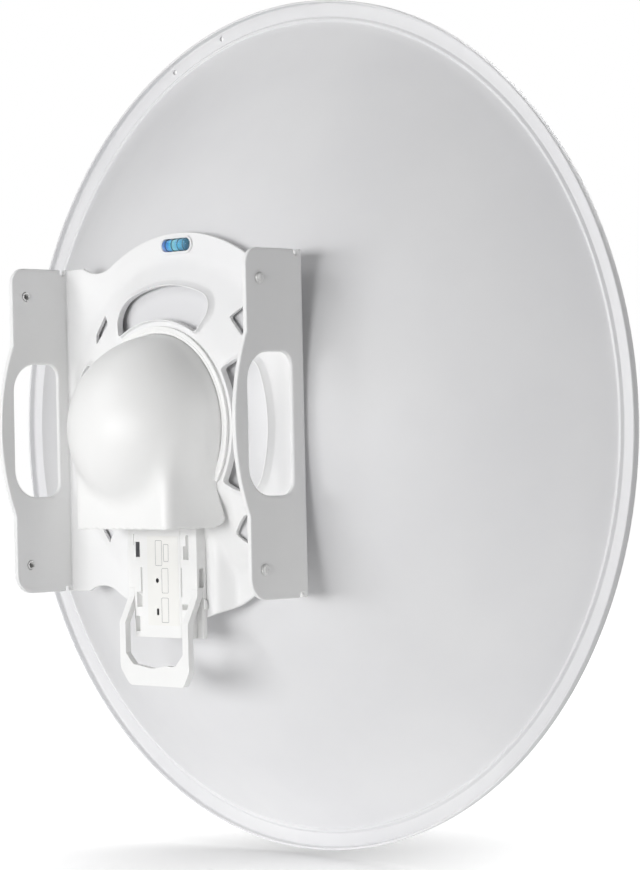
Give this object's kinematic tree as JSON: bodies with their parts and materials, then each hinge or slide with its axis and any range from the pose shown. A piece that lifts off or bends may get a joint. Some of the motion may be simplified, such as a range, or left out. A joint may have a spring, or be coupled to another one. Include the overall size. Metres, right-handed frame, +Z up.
{
  "type": "dish antenna",
  "caption": "Microwave dish antenna seen from its rear: spun reflector on a pressed bracket with two ears, a domed housing, a pull handle and a feed in front.",
  "frame": {"origin": "on the outer face of the right ear, at the height of the dish axis, on the strip outside the hand opening", "axes": "+Z up, +Y forwards out of the dish along its axis, +X to the right seen from behind, out of the right ear's face"},
  "size_m": [0.65, 0.2461, 0.65],
  "materials": {
    "reflector_white": "satin powder coat on spun aluminium",
    "bracket_white": "satin powder coat on pressed steel",
    "housing_white": "moulded plastic, fine matt grain",
    "bright_steel": "stainless steel, lightly worn",
    "level_blue": "clear blue capsule of the bubble level",
    "seal_grey": "moulded sealing ring"
  },
  "bodies": {
    "root": {"block_latch_left": "housing_white", "block_latch_right": "housing_white", "dish_reflector": "reflector_white", "ear_insert_left_bottom": "bright_steel", "ear_insert_left_top": "bright_steel", "ear_insert_right_bottom": "bright_steel", "ear_insert_right_top": "bright_steel", "feed_band": "housing_white", "feed_cap": "housing_white", "feed_flange": "housing_white", "feed_head": "housing_white", "feed_seal": "seal_grey", "feed_tube": "housing_white", "flange_screw_1": "bright_steel", "flange_screw_2": "bright_steel", "flange_screw_3": "bright_steel", "flange_screw_4": "bright_steel", "housing_collar": "housing_white", "housing_tab": "housing_white", "hub_spacer": "bracket_white", "level_bezel": "bracket_white", "level_vial": "level_blue", "port_block": "housing_white", "port_cover": "housing_white", "pull_handle": "housing_white", "rear_bracket": "bracket_white", "rear_housing": "housing_white"}
  },
  "joints": []
}
